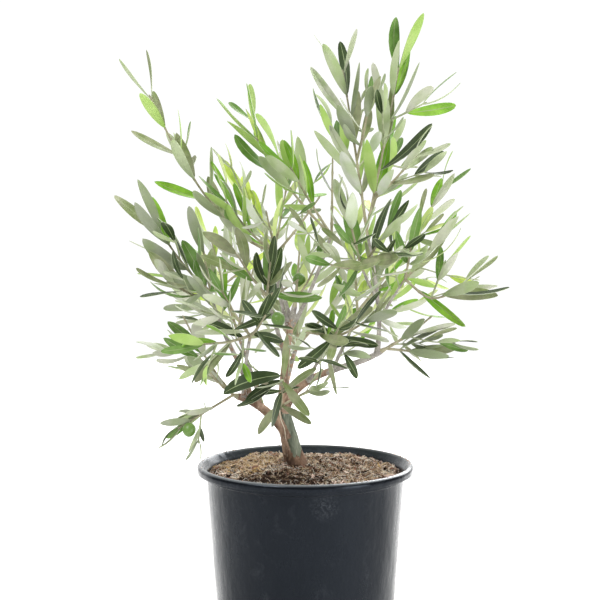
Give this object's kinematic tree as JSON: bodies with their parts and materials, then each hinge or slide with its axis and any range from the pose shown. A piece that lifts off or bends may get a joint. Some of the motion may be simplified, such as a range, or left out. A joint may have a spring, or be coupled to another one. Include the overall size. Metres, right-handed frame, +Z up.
{
  "type": "potted olive sapling",
  "caption": "Young olive plant in a round plastic nursery pot, with a short leaning trunk, forked boughs and an open crown of slim leaves and small green fruit.",
  "frame": {"origin": "centre of the pot's flat underside, where it stands on the ground", "axes": "+Z up along the pot's axis; -Y towards the side from which the plant is usually seen"},
  "size_m": [0.387, 0.3686, 0.6534],
  "materials": {
    "pot_plastic": "charcoal moulded plastic, satin and lightly scuffed",
    "soil_peat": "brown peat and coir with loose crumbs and fibres",
    "olive_bark": "grey-brown bark, finely cracked, redder at the foot",
    "olive_leaf": "grey-green above, silvery below, leathery"
  },
  "bodies": {
    "root": {"pot": "pot_plastic", "potting_soil": "soil_peat", "trunk": "olive_bark", "bough_left": "olive_bark", "bough_centre": "olive_bark", "bough_right": "olive_bark", "bough_back": "olive_bark", "bough_left_riser": "olive_bark", "bough_left_back": "olive_bark", "bough_left_front": "olive_bark", "bough_centre_front": "olive_bark", "bough_upper_left": "olive_bark", "bough_crown": "olive_bark", "bough_leader": "olive_bark", "bough_leader_front": "olive_bark", "bough_back_upper": "olive_bark", "bough_right_mid": "olive_bark", "bough_front_right": "olive_bark", "bough_back_right": "olive_bark", "foliage_left_low": "olive_leaf", "foliage_left": "olive_leaf", "foliage_left_back": "olive_leaf", "foliage_left_front": "olive_leaf", "foliage_front": "olive_leaf", "foliage_left_leader": "olive_leaf", "foliage_upper": "olive_leaf", "foliage_centre": "olive_leaf", "foliage_back_upper": "olive_leaf", "foliage_leaders": "olive_leaf", "foliage_leader_front": "olive_leaf", "foliage_right": "olive_leaf", "foliage_right_low": "olive_leaf", "foliage_front_right": "olive_leaf", "foliage_back_right": "olive_leaf", "foliage_back": "olive_leaf", "foliage_sprout": "olive_leaf"}
  },
  "joints": []
}
